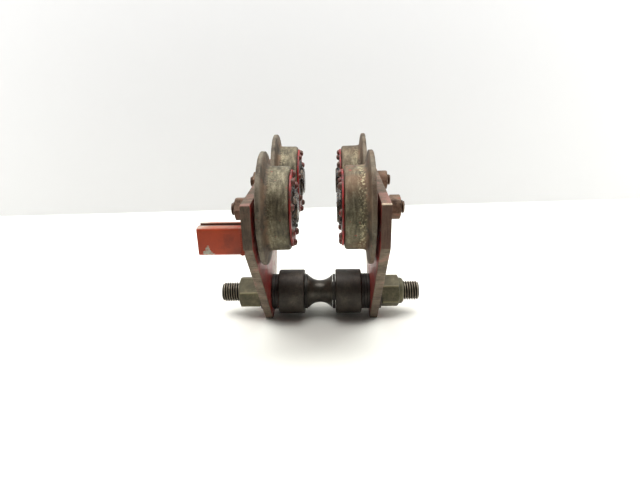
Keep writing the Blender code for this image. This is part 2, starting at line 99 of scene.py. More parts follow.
WHEEL_BACK, WHEEL_FACE = reach("wheel_front_left", "front_left")
AXLE_END, AXLE_HEAD_FACE = reach("axle_stud_front_left", "front_left")
COVER_BACK = WHEEL_FACE + 0.3 * MM
COVER_FACE = COVER_BACK + 1.6 * MM
TREAD_RADIUS = 37.1 * MM
# Degrees that the rivets and the load nuts are turned from the level.
WHEEL_TURN = {"front_left": 17.0, "rear_left": 22.0, "front_right": 8.0, "rear_right": 0.0}
LOAD_NUT_TURN = {"left": 20.0, "right": 40.5}

# ---------------------------------------------------------------- shader maths


class Wire:
    """An output socket. Sums and products on it add Math nodes."""

    def __init__(self, finish, socket):
        self.finish = finish
        self.socket = socket

    def __add__(self, other):
        return self.finish.maths("ADD", self, other)

    def __radd__(self, other):
        return self.finish.maths("ADD", other, self)

    def __sub__(self, other):
        return self.finish.maths("SUBTRACT", self, other)

    def __rsub__(self, other):
        return self.finish.maths("SUBTRACT", other, self)

    def __mul__(self, other):
        return self.finish.maths("MULTIPLY", self, other)

    def __rmul__(self, other):
        return self.finish.maths("MULTIPLY", other, self)

    def __truediv__(self, other):
        return self.finish.maths("DIVIDE", self, other)

    def __pow__(self, other):
        return self.finish.maths("POWER", self, other)


class Finish:
    """A material under construction."""

    def __init__(self, name):
        self.material = bpy.data.materials.new(name)
        self.material.use_nodes = True
        self.tree = self.material.node_tree
        self.shader = self.tree.nodes["Principled BSDF"]

    def add(self, kind, settings=None, sockets=None, output=0):
        """Add a node: its settings first, then its sockets' values or links."""
        node = self.tree.nodes.new(kind)
        for key, value in (settings or {}).items():
            if key == "stops":
                self.fill_ramp(node.color_ramp, value)
            else:
                setattr(node, key, value)
        for key, value in (sockets or {}).items():
            self.feed(node.inputs[key], value)
        return Wire(self, node.outputs[output])

    @staticmethod
    def fill_ramp(ramp, stops):
        while len(ramp.elements) < len(stops):
            ramp.elements.new(0.5)
        for element, (position, colour) in zip(ramp.elements, stops):
            element.position = position
            element.color = (*colour, 1.0)

    def feed(self, socket, value):
        if isinstance(value, Wire):
            self.tree.links.new(value.socket, socket)
        elif isinstance(value, tuple) and len(value) == 3 and socket.type == "RGBA":
            socket.default_value = (*value, 1.0)
        else:
            socket.default_value = value

    def maths(self, operation, *values):
        return self.add("ShaderNodeMath", {"operation": operation}, dict(enumerate(values)))

    def larger(self, a, b):
        return self.maths("MAXIMUM", a, b)

    def vector(self, operation, a, b=(0.0, 0.0, 0.0), output=0):
        return self.add("ShaderNodeVectorMath", {"operation": operation}, {0: a, 1: b}, output)

    def parts(self, wire):
        """The three numbers of a vector."""
        node = self.tree.nodes.new("ShaderNodeSeparateXYZ")
        self.feed(node.inputs[0], wire)
        return [Wire(self, socket) for socket in node.outputs]

    def combine(self, x, y, z):
        return self.add("ShaderNodeCombineXYZ", None, {0: x, 1: y, 2: z})

    def spot(self):
        """The place on the piece, in metres."""
        return self.add("ShaderNodeTexCoord", output="Object")

    def grain(self, vector, scale, detail=4.0, roughness=0.6, distortion=0.0):
        return self.add("ShaderNodeTexNoise", None, {"Vector": vector, "Scale": scale, "Detail": detail,
                                                     "Roughness": roughness, "Distortion": distortion})

    def band(self, value, low, high):
        """0 below low, 1 above high, smooth between. Either may be the larger."""
        return self.add("ShaderNodeMapRange", {"interpolation_type": "SMOOTHSTEP"},
                        {0: value, 1: low, 2: high, 3: 0.0, 4: 1.0})

    def blend(self, factor, a, b):
        return self.add("ShaderNodeMix", {"data_type": "RGBA"}, {0: factor, 6: a, 7: b}, 2)

    def ramp(self, value, *stops):
        return self.add("ShaderNodeValToRGB", {"stops": stops}, {0: value})

    def relief(self, height, distance, strength=1.0):
        sockets = {"Height": height, "Distance": distance, "Strength": strength}
        normal = self.add("ShaderNodeBump", None, sockets)
        self.feed(self.shader.inputs["Normal"], normal)

    def surface(self, colour, roughness, metallic, **others):
        self.feed(self.shader.inputs["Base Color"], colour)
        self.feed(self.shader.inputs["Roughness"], roughness)
        self.feed(self.shader.inputs["Metallic"], metallic)
        for key, value in others.items():
            self.feed(self.shader.inputs[key.replace("_", " ")], value)
        return self.material

    def round_axis(self, place, inward=1.0):
        """About an axis along X: distance along it, distance from it, and a point that runs round it."""
        along, off_y, off_z = self.parts(self.vector("SUBTRACT", self.spot(), tuple(place)))
        radius = (off_y * off_y + off_z * off_z) ** 0.5
        return along * inward, radius, off_y / radius, off_z / radius


# ---------------------------------------------------------------- colours

OLIVE_DARK = (0.040, 0.033, 0.020)
OLIVE = (0.115, 0.099, 0.060)
OLIVE_LIGHT = (0.285, 0.253, 0.168)
CAST_DARK = (0.039, 0.031, 0.022)
CAST_BROWN = (0.100, 0.077, 0.052)
CAST_LIGHT = (0.223, 0.189, 0.135)
BRASSY = (0.42, 0.36, 0.22)
RUST = (0.146, 0.073, 0.035)
RUST_DARK = (0.046, 0.025, 0.014)
PAINT_RED = (0.293, 0.012, 0.009)
PAINT_DARK = (0.115, 0.008, 0.006)
PAINT_PALE = (0.362, 0.162, 0.115)
ARM_RED = (0.40, 0.052, 0.015)
ARM_DARK = (0.100, 0.021, 0.010)
PRIMER = (0.400, 0.400, 0.323)
OXIDE_DARK = (0.014, 0.011, 0.008)
OXIDE = (0.042, 0.033, 0.025)
OXIDE_LIGHT = (0.115, 0.096, 0.073)
PLATED_DARK = (0.039, 0.035, 0.018)
PLATED = (0.112, 0.102, 0.060)
PLATED_LIGHT = (0.323, 0.285, 0.154)
GREASE = (0.008, 0.007, 0.005)

# ---------------------------------------------------------------- finishes


def wheel_steel(station, brassy, brown):
    """Wheel body: rolled olive tread, brown cast flange, pitted brassy band and flecks of red."""
    f = Finish("wheel_steel_" + station)
    along, radius, round_y, round_z = f.round_axis(axle_place(station), INWARD[side_of(station)])
    spot = f.spot()
    streaked = f.combine(along + radius, round_y * 0.008, round_z * 0.008)
    streaks = f.grain(streaked, 420.0, 5.0, 0.65)
    fine_streaks = f.grain(streaked, 1500.0, 3.0, 0.6)
    clouds = f.grain(spot, 85.0, 5.0, 0.6)
    fine = f.grain(spot, 900.0, 4.0, 0.7)
    patches = f.grain(spot, 38.0, 3.0, 0.5, 0.4)
    on_tread = f.band(along, 9.0 * MM, 12.0 * MM)
    tone = streaks * 0.42 + clouds * 0.3 + fine * 0.28
    tread = f.ramp(tone, (0.40, OLIVE_DARK), (0.50, OLIVE), (0.62, OLIVE_LIGHT))
    tread = f.blend(f.band(patches, 0.50, 0.68) * 0.6, tread, CAST_DARK)
    flange = f.ramp(clouds * 0.5 + fine * 0.5, (0.41, CAST_DARK), (0.53, CAST_BROWN), (0.68, CAST_LIGHT))
    lip = f.band(radius, FLANGE_RADIUS - 4.0 * MM, FLANGE_RADIUS - 1.0 * MM)
    flange = f.blend(lip * f.band(clouds, 0.35, 0.6) * 0.3, flange, (0.235, 0.212, 0.160))
    colour = f.blend(on_tread, flange, tread)
    stained = f.band(f.grain(spot, 26.0, 4.0, 0.55, 0.3), 0.42, 0.60)
    colour = f.blend(stained * brown * (on_tread * 0.4 + 0.6), colour, RUST)
    pits = f.band(f.grain(spot, 560.0, 3.0, 0.6), 0.53, 0.60)
    pit_zone = f.band(along, 9.5 * MM, 11.5 * MM) * f.band(along, 18.0 * MM, 14.0 * MM)
    pit_mask = pits * pit_zone * brassy
    colour = f.blend(pit_mask, colour, BRASSY)
    root = f.band(along, 6.0 * MM, 9.0 * MM) * f.band(along, 14.0 * MM, 10.0 * MM)
    colour = f.blend(root * f.band(clouds, 0.4, 0.65) * 0.55, colour, RUST)
    flecks = f.band(f.grain(spot, 210.0, 3.0, 0.6, 0.6), 0.665, 0.72)
    colour = f.blend(flecks * 0.8, colour, PAINT_RED)
    scars = f.band(fine_streaks, 0.6, 0.78) * on_tread
    colour = f.blend(scars * 0.35, colour, OLIVE_LIGHT)
    f.relief(streaks * 0.5 + fine * 0.5 - pit_mask * 0.3 + clouds * 0.5, 0.25 * MM)
    return f.surface(colour, 0.62 - scars * 0.18 + fine * 0.1 - on_tread * 0.08, 0.55 - flecks * 0.5)


def cover_paint(station):
    """Glossy red cover plate with chips, and grease thrown out from the hub."""
    f = Finish("cover_paint_" + station)
    _, radius, round_y, round_z = f.round_axis(axle_place(station), INWARD[side_of(station)])
    spot = f.spot()
    clouds = f.grain(spot, 120.0, 4.0, 0.6)
    fine = f.grain(spot, 700.0, 3.0, 0.6)
    colour = f.blend(f.band(clouds, 0.35, 0.7), PAINT_RED, PAINT_DARK)
    thrown = f.grain(f.combine(radius * 20.0, round_y * 1.6, round_z * 1.6), 3.0, 5.0, 0.7)
    greasy = f.band(radius + (thrown - 0.5) * 34.0 * MM, 29.0 * MM, 23.5 * MM)
    grime = f.band(fine * 0.6 + clouds * 0.4, 0.49, 0.60)
    colour = f.blend(grime * 0.7, colour, RUST_DARK)
    dirt = f.blend(f.band(fine, 0.50, 0.68), GREASE, (0.085, 0.060, 0.040))
    colour = f.blend(greasy, colour, dirt)
    f.relief(clouds * 0.4 + greasy * (thrown + fine) * 0.7 - grime * 0.3, 0.35 * MM)
    return f.surface(colour, 0.36 + fine * 0.2, greasy * fine * 0.5, Specular_IOR_Level=0.35)


def rivet_paint():
    """Rivet heads: red paint rubbed down to brown steel."""
    f = Finish("rivet_paint")
    spot = f.spot()
    worn = f.band(f.grain(spot, 260.0, 4.0, 0.6), 0.42, 0.58)
    fine = f.grain(spot, 1100.0, 3.0, 0.6)
    colour = f.blend(worn, (0.130, 0.018, 0.012), (0.085, 0.050, 0.032))
    colour = f.blend(f.band(fine, 0.55, 0.7) * 0.5, colour, RUST_DARK)
    f.relief(fine, 0.3 * MM)
    return f.surface(colour, 0.38 + worn * 0.2, worn * 0.3)


def hub_steel():
    """Axle head under a broken film of black grease."""
    f = Finish("hub_steel")
    spot = f.spot()
    wet = f.grain(spot, 190.0, 5.0, 0.65)
    fine = f.grain(spot, 650.0, 4.0, 0.7)
    film = f.band(wet * 0.5 + fine * 0.5, 0.44, 0.53)
    colour = f.blend(film, (0.140, 0.105, 0.075), GREASE)
    f.relief(wet + fine * 0.5, 0.55 * MM)
    return f.surface(colour, 0.42 - film * 0.16, 0.75 - film * 0.65, Coat_Weight=0.1)


def black_grease():
    """Lumps of old grease with rust and grit in them."""
    f = Finish("black_grease")
    spot = f.spot()
    lumps = f.grain(spot, 420.0, 5.0, 0.65)
    grit = f.grain(spot, 950.0, 3.0, 0.7)
    colour = f.blend(f.band(lumps * 0.5 + grit * 0.5, 0.50, 0.60), GREASE, (0.075, 0.052, 0.036))
    f.relief(lumps + grit * 0.4, 0.4 * MM)
    return f.surface(colour, 0.24 + lumps * 0.2, 0.0, Coat_Weight=0.1)


def plate_paint():
    """Side plate faces: dark red paint, scuffed and dusty, with chips to brown steel, and pale dust with a
    painted reflection low on the inner faces towards the rear.
    """
    f = Finish("plate_paint")
    spot = f.spot()
    clouds = f.grain(spot, 30.0, 5.0, 0.6)
    scuffs = f.grain(f.vector("MULTIPLY", spot, (1.0, 0.4, 2.2)), 160.0, 5.0, 0.7, 0.5)
    fine = f.grain(spot, 620.0, 4.0, 0.7)
    colour = f.blend(f.band(clouds, 0.32, 0.72), PAINT_RED, PAINT_DARK)
    colour = f.blend(f.band(scuffs, 0.52, 0.8) * 0.55, colour, PAINT_PALE)
    chips = f.band(scuffs * 0.55 + fine * 0.45, 0.585, 0.625)
    colour = f.blend(chips, colour, CAST_DARK)
    x, y, z = f.parts(spot)
    inside = f.band(f.maths("ABSOLUTE", x), 54.0 * MM, 53.0 * MM)
    towards_rear = f.band(y + (clouds - 0.5) * 40.0 * MM, -4.0 * MM, 22.0 * MM)
    # pale on the lower inner faces towards the rear: dust with a painted reflection of the grazing view
    dust_and_sheen = inside * towards_rear * f.band(z, 85.0 * MM, 65.0 * MM)
    colour = f.blend(dust_and_sheen * f.band(fine * 0.5 + scuffs * 0.5, 0.40, 0.56), colour, (0.40, 0.34, 0.27))
    rubbed = inside * f.band(scuffs * 0.5 + fine * 0.5, 0.47, 0.60)
    colour = f.blend(rubbed * 0.55, colour, (0.240, 0.140, 0.100))
    f.relief(clouds * 0.5 + fine * 0.4 - chips * 0.7, 0.35 * MM)
    return f.surface(colour, 0.40 + chips * 0.3 + fine * 0.15, chips * 0.3, Coat_Weight=0.04)


def cut_edge():
    """Cut edges of the side plates: brown scale, lines from the torch, traces of paint; the upright edges
    darkened as painted shade, and a painted highlight on the worn front top corner of the right plate.
    """
    f = Finish("cut_edge")
    spot = f.spot()
    x, y, z = f.parts(spot)
    below_top = PLATE_TOP - z
    below_shoulder = f.band(z, SHOULDER + 0.6 * MM, SHOULDER - 0.6 * MM)
    slanted = f.larger(below_shoulder, f.band(below_top, 1.3 * MM, 0.7 * MM))
    across = f.grain(f.vector("MULTIPLY", spot, (0.12, 1.0, 1.0)), 620.0, 4.0, 0.65)
    lengthwise = f.grain(f.vector("MULTIPLY", spot, (3.0, 1.0, 0.12)), 560.0, 4.0, 0.65)
    clouds = f.grain(spot, 75.0, 5.0, 0.6)
    fine = f.grain(spot, 1100.0, 3.0, 0.7)
    lines = across * slanted + lengthwise * (1 - slanted)
    tone = lines * 0.45 + clouds * 0.35 + fine * 0.25
    # the slanted edges a touch lighter in tone: painted light
    steel = f.ramp(tone + slanted * 0.02, (0.40, (0.040, 0.028, 0.020)), (0.51, (0.096, 0.069, 0.046)),
                   (0.63, (0.208, 0.161, 0.106)))
    # painted shade: the upright edges darkened towards a dark red brown
    steel = f.blend((1 - slanted) * 0.44, steel, (0.034, 0.016, 0.010))
    topside = f.band(below_top, 1.6 * MM, 0.8 * MM)
    painted = f.band(clouds * 0.6 + fine * 0.4 + topside * 0.06, 0.55, 0.62) * (0.25 + slanted * 0.5)
    colour = f.blend(painted, steel, (0.208, 0.073, 0.052))
    right = f.band(x, 0.0, MM)
    colour = f.blend((1 - slanted) * right * 0.45, colour, (0.135, 0.058, 0.038))
    # darker towards the bottom, more on the right plate
    colour = f.blend(f.band(z, 75.0 * MM, 15.0 * MM) * (0.15 + right * 0.2), colour, RUST_DARK)
    # pale front top corner of the right plate: worn steel with a painted highlight
    corner = f.band(PLATE_HALF_LENGTH + y, 2.4 * MM, 1.2 * MM) * topside * right
    colour = f.blend(corner * f.band(lines * 0.5 + fine * 0.5, 0.36, 0.50), colour, (0.60, 0.48, 0.34))
    f.relief(lines * 0.9 + fine * 0.35, 0.45 * MM)
    return f.surface(colour, 0.60 + fine * 0.2 - painted * 0.15, 0.35 - painted * 0.35)


def arm_paint():
    """Tow arm: orange red paint, dirty, with a chip of pale primer at its free lower corner, and painted
    shade inside the channel.
    """
    f = Finish("arm_paint")
    low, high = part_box("tow_arm")
    spot = f.spot()
    x, y, z = f.parts(spot)
    clouds = f.grain(spot, 60.0, 4.0, 0.6)
    fine = f.grain(spot, 500.0, 4.0, 0.7)
    colour = f.blend(f.band(clouds, 0.35, 0.75) * 0.7, ARM_RED, (0.240, 0.032, 0.012))
    smudge_at = (low.x + 0.76 * (high.x - low.x), low.y, low.z + 0.50 * (high.z - low.z))
    from_smudge = f.vector("DISTANCE", spot, smudge_at, "Value")
    smudge = f.band(from_smudge + (clouds - 0.5) * 40.0 * MM + (fine - 0.5) * 14.0 * MM, 10.0 * MM, -6.0 * MM)
    grime = f.band(x + (clouds - 0.5) * 30.0 * MM, low.x + 14.0 * MM, high.x)
    colour = f.blend(f.larger(smudge * 0.66, grime * 0.45), colour, ARM_DARK)
    rise = z - low.z + (fine - 0.5) * 11.0 * MM
    peak = 9.6 * MM - f.maths("ABSOLUTE", x - low.x - 7.6 * MM) * 1.9
    foothill = 4.6 * MM - f.maths("ABSOLUTE", x - low.x - 10.0 * MM) * 1.2
    chip = f.band(f.larger(peak, foothill) - rise, -0.2 * MM, 0.3 * MM) * f.band(rise, 0.3 * MM, 1.2 * MM)
    colour = f.blend(chip, colour, f.blend(f.band(fine, 0.45, 0.65), PRIMER, PAINT_PALE))
    rubbed = f.band(z + (fine - 0.5) * 2.0 * MM, high.z - 1.0 * MM, high.z - 0.3 * MM)
    near_end = f.band(x + (fine - 0.5) * 9.0 * MM, low.x + 9.0 * MM, low.x + 5.0 * MM)
    bare = f.blend(near_end, (0.285, 0.165, 0.110), PRIMER)
    colour = f.blend(rubbed * f.band(clouds, 0.35, 0.55) * 0.65, colour, bare)
    # painted shade: the inside of the channel between its lips darkened
    slot_shade = f.band(y, low.y + 5.2 * MM, low.y + 6.4 * MM) * f.band(y, high.y - 4.6 * MM, high.y - 5.1 * MM)
    colour = f.blend(slot_shade * 0.85, colour, RUST_DARK)
    chips = f.band(fine * 0.6 + clouds * 0.4, 0.635, 0.66)
    colour = f.blend(chips, colour, RUST_DARK)
    f.relief(clouds * 0.4 + fine * 0.25 - chips * 0.5 - chip * 0.4, 0.3 * MM)
    return f.surface(colour, 0.42 + fine * 0.15 + chip * 0.15, chips * 0.3, Specular_IOR_Level=0.3)


def rusty_steel():
    """Axle nuts and lock washers."""
    f = Finish("rusty_steel")
    spot = f.spot()
    clouds = f.grain(spot, 190.0, 5.0, 0.65)
    fine = f.grain(spot, 1300.0, 4.0, 0.7)
    colour = f.ramp(clouds * 0.6 + fine * 0.4, (0.37, RUST_DARK), (0.49, (0.138, 0.086, 0.053)),
                    (0.64, (0.25, 0.170, 0.108)))
    colour = f.blend(f.band(clouds, 0.60, 0.68) * 0.6, colour, (0.193, 0.039, 0.027))
    f.relief(fine * 0.6 + clouds * 0.8, 0.35 * MM)
    return f.surface(colour, 0.62 + fine * 0.2, 0.35)


def oxide_steel(name, tint, gloss):
    """Sleeves, bobbin and washers on the load bolt: dark oxide with turning marks."""
    f = Finish(name)
    spot = f.spot()
    along, _, round_y, round_z = f.round_axis(BOLT_MIDDLE)
    marks = f.grain(f.combine(along, round_y * 0.0015, round_z * 0.0015), 2600.0, 2.0, 0.5)
    clouds = f.grain(spot, 70.0, 5.0, 0.6)
    fine = f.grain(spot, 800.0, 4.0, 0.7)
    colour = f.ramp(clouds * 0.6 + fine * 0.35 + marks * 0.12, (0.38, OXIDE_DARK), (0.56, tint),
                    (0.78, OXIDE_LIGHT))
    rubbed = f.band(fine * 0.5 + clouds * 0.5, 0.60, 0.70)
    colour = f.blend(rubbed * 0.4, colour, OXIDE_LIGHT)
    f.relief(marks * 0.35 + fine * 0.35 + clouds * 0.3, 0.16 * MM)
    return f.surface(colour, gloss + fine * 0.18 - rubbed * 0.1, 0.45)


def plated_steel(side):
    """Load nuts: dull olive plating, scratched and dirty, their upper flats darkened as painted shade, the
    left nut darker overall.
    """
    f = Finish("plated_steel_" + side)
    spot = f.spot()
    clouds = f.grain(spot, 110.0, 5.0, 0.65)
    scratches = f.grain(f.vector("MULTIPLY", spot, (0.5, 1.0, 2.6)), 420.0, 5.0, 0.75, 1.2)
    fine = f.grain(spot, 1200.0, 3.0, 0.7)
    colour = f.ramp(clouds * 0.7 + fine * 0.3, (0.34, PLATED_DARK), (0.54, PLATED), (0.80, PLATED_LIGHT))
    colour = f.blend(f.band(scratches, 0.60, 0.72) * 0.7, colour, PLATED_LIGHT)
    _, radius, _, round_z = f.round_axis(BOLT_MIDDLE)
    worn = f.band(radius + (fine - 0.5) * 0.9 * MM, 16.5 * MM, 17.1 * MM)
    colour = f.blend(worn * 0.6, colour, PLATED_LIGHT)
    # painted shade: the upper flats darkened, for the light falling from above
    colour = f.blend(f.band(round_z, 0.15, 0.75) * 0.55, colour, PLATED_DARK)
    # the left nut darker overall
    if side == "left":
        colour = f.blend(0.20, colour, PLATED_DARK)
    f.relief(fine * 0.4 + scratches * 0.3 + clouds * 0.5, 0.25 * MM)
    return f.surface(colour, 0.50 + fine * 0.15 - scratches * 0.1, 0.55)


def thread_steel(name, place, root, crest, dirt, crest_wear_and_highlight):
    """Threads: dirt and painted shade darken the roots, rubbed wear and a painted highlight lighten the
    crests.
    """
    f = Finish(name)
    _, radius, _, _ = f.round_axis(place)
    spot = f.spot()
    fine = f.grain(spot, 900.0, 4.0, 0.7)
    clouds = f.grain(spot, 160.0, 4.0, 0.6)
    # colour by radius: roots dark with dirt and painted shade, crests light with wear and a painted highlight
    height = f.band(radius + (clouds - 0.55) * 1.6 * MM, root, crest)
    flank = tuple(0.78 * dark + 0.2 * light for dark, light in zip(dirt, crest_wear_and_highlight))
    colour = f.ramp(height, (0.0, dirt), (0.65, flank), (1.0, crest_wear_and_highlight))
    f.relief(fine, 0.12 * MM)
    return f.surface(colour, 0.36 + fine * 0.15, 0.75)


def nylon_ring():
    """Locking insert of the load nuts, grimy."""
    f = Finish("nylon_ring")
    dirt = f.grain(f.spot(), 500.0, 4.0, 0.6)
    colour = f.blend(f.band(dirt, 0.4, 0.65), (0.169, 0.162, 0.131), (0.054, 0.050, 0.039))
    return f.surface(colour, 0.55, 0.0)


def ground_steel():
    """Races, balls and cages inside the wheels, oiled."""
    f = Finish("ground_steel")
    oil = f.grain(f.spot(), 220.0, 4.0, 0.6)
    colour = f.blend(f.band(oil, 0.45, 0.65), (0.323, 0.308, 0.277), (0.077, 0.065, 0.050))
    return f.surface(colour, 0.22 + oil * 0.2, 0.95)


# ---------------------------------------------------------------- shapes


def rounded(corners, steps=5):
    """An outline through corners given as (along, radius, rounding)."""
    outline = []
    for index, (along, radius, rounding) in enumerate(corners):
        here = Vector((along, radius))
        before = Vector(corners[index - 1][:2]) - here
        after = Vector(corners[(index + 1) % len(corners)][:2]) - here
        if rounding == 0.0:
            outline.append(here)
            continue
        cut = rounding / math.tan(before.angle(after) / 2)
        cut = min(cut, 0.48 * before.length, 0.48 * after.length)
        start = here + before.normalized() * cut
        end = here + after.normalized() * cut
        for step in range(steps + 1):
            t = step / steps
            outline.append(start * (1 - t) ** 2 + here * (2 * t * (1 - t)) + end * t ** 2)
    return outline


def turned(outline, facets, turn=math.tau, climb=0.0):
    """Spin a closed outline about the X axis; climb is the travel along X in the whole turn."""
    bm = bmesh.new()
    corners = [bm.verts.new((point[0], point[1], 0.0)) for point in outline]
    for start, end in zip(corners, corners[1:] + corners[:1]):
        if start.co.y > 0.0 or end.co.y > 0.0:
            bm.edges.new((start, end))
    whole = turn == math.tau and climb == 0.0
    bmesh.ops.spin(bm, geom=bm.verts[:] + bm.edges[:], cent=(0, 0, 0), axis=(1, 0, 0),
                   dvec=(climb / facets, 0, 0), angle=turn, steps=facets, use_merge=whole)
    bmesh.ops.remove_doubles(bm, verts=bm.verts, dist=0.001 * MM)
    if not whole:
        rim = [edge for edge in bm.edges if edge.is_boundary]
        bmesh.ops.holes_fill(bm, edges=rim, sides=0)
    return bm


def round_off(bm, geom, affect, offset, segments):
    """Round corners (VERTICES) or edges (EDGES)."""
    bmesh.ops.bevel(bm, geom=geom, affect=affect, offset=offset, segments=segments, profile=0.5, material=-1)


def faced(bm, direction):
    """A shape made along +X, turned round when the direction is -X."""
    if direction < 0.0:
        bmesh.ops.rotate(bm, verts=bm.verts, cent=(0, 0, 0), matrix=Matrix.Rotation(math.pi, 3, "Z"))
    return bm


def moved(bm, place):
    bmesh.ops.translate(bm, verts=bm.verts, vec=place)
    return bm


def wear(bm, depth, size, seed):
    """Sink the surface by up to depth, in lumps of a given size."""
    bmesh.ops.recalc_face_normals(bm, faces=bm.faces)
    bm.normal_update()
    shift = Vector((seed * 7.3, seed * 3.1, seed * 5.7))
    for vert in bm.verts:
        amount = 0.5 + 0.5 * noise.fractal(vert.co / size + shift, 0.8, 2.1, 3)
        vert.co -= vert.normal * depth * min(max(amount, 0.0), 1.0)


def gather(parts):
    """One bmesh that holds several."""
    whole = bmesh.new()
    for bm in parts:
        mesh = bpy.data.meshes.new("part")
        bm.to_mesh(mesh)
        bm.free()
        whole.from_mesh(mesh)
        bpy.data.meshes.remove(mesh)
    return whole


def piece(name, bm, finishes, body, nodes=(), sharp=32.0):
    """Make a finished piece of a bmesh that is already in its place."""
    bmesh.ops.remove_doubles(bm, verts=bm.verts, dist=0.001 * MM)
    bmesh.ops.recalc_face_normals(bm, faces=bm.faces)
    mesh = bpy.data.meshes.new(name)
    bm.to_mesh(mesh)
    bm.free()
    mesh.shade_smooth()
    mesh.set_sharp_from_angle(angle=math.radians(sharp))
    for finish in finishes:
        mesh.materials.append(finish)
    obj = bpy.data.objects.new(name, mesh)
    bpy.context.scene.collection.objects.link(obj)
    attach(obj, body)
    if nodes:
        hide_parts(*nodes)
    return obj


def hex_nut(corners, flats, facets=96):
    """Turn a nut blank and cut its six flats."""
    bm = turned(rounded(corners, 3), facets)
    for flat in range(6):
        angle = math.radians(30.0 + 60.0 * flat)
        outward = Vector((0.0, math.cos(angle), math.sin(angle)))
        cut = bmesh.ops.bisect_plane(bm, geom=bm.verts[:] + bm.edges[:] + bm.faces[:], dist=0.001 * MM,
                                     plane_co=outward * (flats / 2), plane_no=outward, clear_outer=True)
        rim = [item for item in cut["geom_cut"] if isinstance(item, bmesh.types.BMEdge)]
        bmesh.ops.holes_fill(bm, edges=rim, sides=0)
    return bm


def threaded(start, end, crest, depth, pitch, chamfer, facets=64):
    """A closed length of screw thread along +X, its far end chamfered."""
    turns = math.ceil((end - start) / pitch) + 2
    root = crest - depth
    flank = [(0.0, root), (0.06 * pitch, root), (0.44 * pitch, crest), (0.56 * pitch, crest),
             (0.94 * pitch, root), (pitch, root)]
    bm = bmesh.new()
    corners = [bm.verts.new((start - pitch + along, radius, 0.0)) for along, radius in flank]
    for first, second in zip(corners, corners[1:]):
        bm.edges.new((first, second))
    bmesh.ops.spin(bm, geom=bm.verts[:] + bm.edges[:], cent=(0, 0, 0), axis=(1, 0, 0),
                   dvec=(pitch / facets, 0, 0), angle=math.tau, steps=facets, use_merge=False)
    one_turn = bm.verts[:] + bm.edges[:] + bm.faces[:]
    for turn in range(1, turns):
        copied = bmesh.ops.duplicate(bm, geom=one_turn)
        verts = [item for item in copied["geom"] if isinstance(item, bmesh.types.BMVert)]
        bmesh.ops.translate(bm, verts=verts, vec=(pitch * turn, 0.0, 0.0))
    bmesh.ops.remove_doubles(bm, verts=bm.verts, dist=0.005 * MM)
    for at, outward in ((start, -1.0), (end, 1.0)):
        cut = bmesh.ops.bisect_plane(bm, geom=bm.verts[:] + bm.edges[:] + bm.faces[:], dist=0.001 * MM,
                                     plane_co=(at, 0, 0), plane_no=(outward, 0, 0), clear_outer=True)
        rim = [item for item in cut["geom_cut"] if isinstance(item, bmesh.types.BMEdge)]
        bmesh.ops.holes_fill(bm, edges=rim, sides=0)
    for vert in bm.verts:
        radius = math.hypot(vert.co.y, vert.co.z)
        limit = crest - max(0.0, vert.co.x - (end - chamfer))
        if radius > limit:
            vert.co.y *= limit / radius
            vert.co.z *= limit / radius
    return bm


# ---------------------------------------------------------------- wheels and axles


def wheel_outline():
    back = WHEEL_BACK
    face = WHEEL_FACE
    return rounded([
        (back, 18.3 * MM, 0.6 * MM),
        (back, 27.0 * MM, 0.8 * MM),
        (back + 1.0 * MM, 29.5 * MM, 1.0 * MM),
        (back + 1.0 * MM, 43.5 * MM, 1.0 * MM),
        (back + 0.4 * MM, 45.5 * MM, 0.8 * MM),
        (back + 0.6 * MM, FLANGE_RADIUS - 0.8 * MM, 0.8 * MM),
        (back + 1.3 * MM, FLANGE_RADIUS, 0.6 * MM),
        (back + 4.6 * MM, FLANGE_RADIUS - 0.1 * MM, 0.8 * MM),
        (back + 5.2 * MM, FLANGE_RADIUS - 2.4 * MM, 1.4 * MM),
        (back + 5.8 * MM, FLANGE_RADIUS - 7.0 * MM, 2.0 * MM),
        (back + 6.7 * MM, TREAD_RADIUS + 0.2 * MM, 3.2 * MM),
        (back + 13.0 * MM, TREAD_RADIUS - 0.1 * MM, 6.0 * MM),
        (face, TREAD_RADIUS - 0.2 * MM, 3.6 * MM),
        (face, 23.5 * MM, 0.0),
        (face - 14.6 * MM, 23.5 * MM, 0.0),
        (face - 14.6 * MM, 18.3 * MM, 0.0),
    ], 6)


def subdivided(outline, longest):
    """The same outline with long stretches divided."""
    points = []
    for index, point in enumerate(outline):
        after = outline[(index + 1) % len(outline)]
        steps = max(1, math.ceil((after - point).length / longest))
        for step in range(steps):
            points.append(point.lerp(after, step / steps))
    return points


def rivet_head(radius, height, seed):
    """A low button head, a little uneven from the hammer, standing on X = 0."""
    rng = random.Random(seed)
    dome = [(-0.4 * MM, 0.0), (-0.4 * MM, radius)]
    for step in range(7):
        angle = math.radians(90.0 * step / 6)
        dome.append((height * (0.12 + 0.88 * math.sin(angle)), radius * math.cos(angle) ** 0.75))
    dome[-1] = (height, 0.0)
    bm = turned([Vector(point) for point in dome], 20)
    tilt = Matrix.Rotation(math.radians(rng.uniform(-5, 5)), 3, "Y")
    tilt = tilt @ Matrix.Rotation(math.radians(rng.uniform(-5, 5)), 3, "Z")
    bmesh.ops.rotate(bm, verts=bm.verts, cent=(0, 0, 0), matrix=tilt)
    uneven = (rng.uniform(0.86, 0.98), rng.uniform(0.9, 1.0), rng.uniform(0.9, 1.0))
    bmesh.ops.scale(bm, verts=bm.verts, vec=uneven)
    return bm


def grease_lump(place, size, flatness, seed):
    """A smeared lump of grease."""
    bm = bmesh.new()
    bmesh.ops.create_icosphere(bm, subdivisions=3, radius=1.0)
    for vert in bm.verts:
        swell = 1.0 + 0.45 * noise.fractal(vert.co * 1.4 + Vector((seed * 3.7, 0.0, 0.0)), 0.9, 2.0, 3)
        vert.co = Vector((vert.co.x * flatness, vert.co.y, vert.co.z)) * size * swell
    return moved(bm, place)


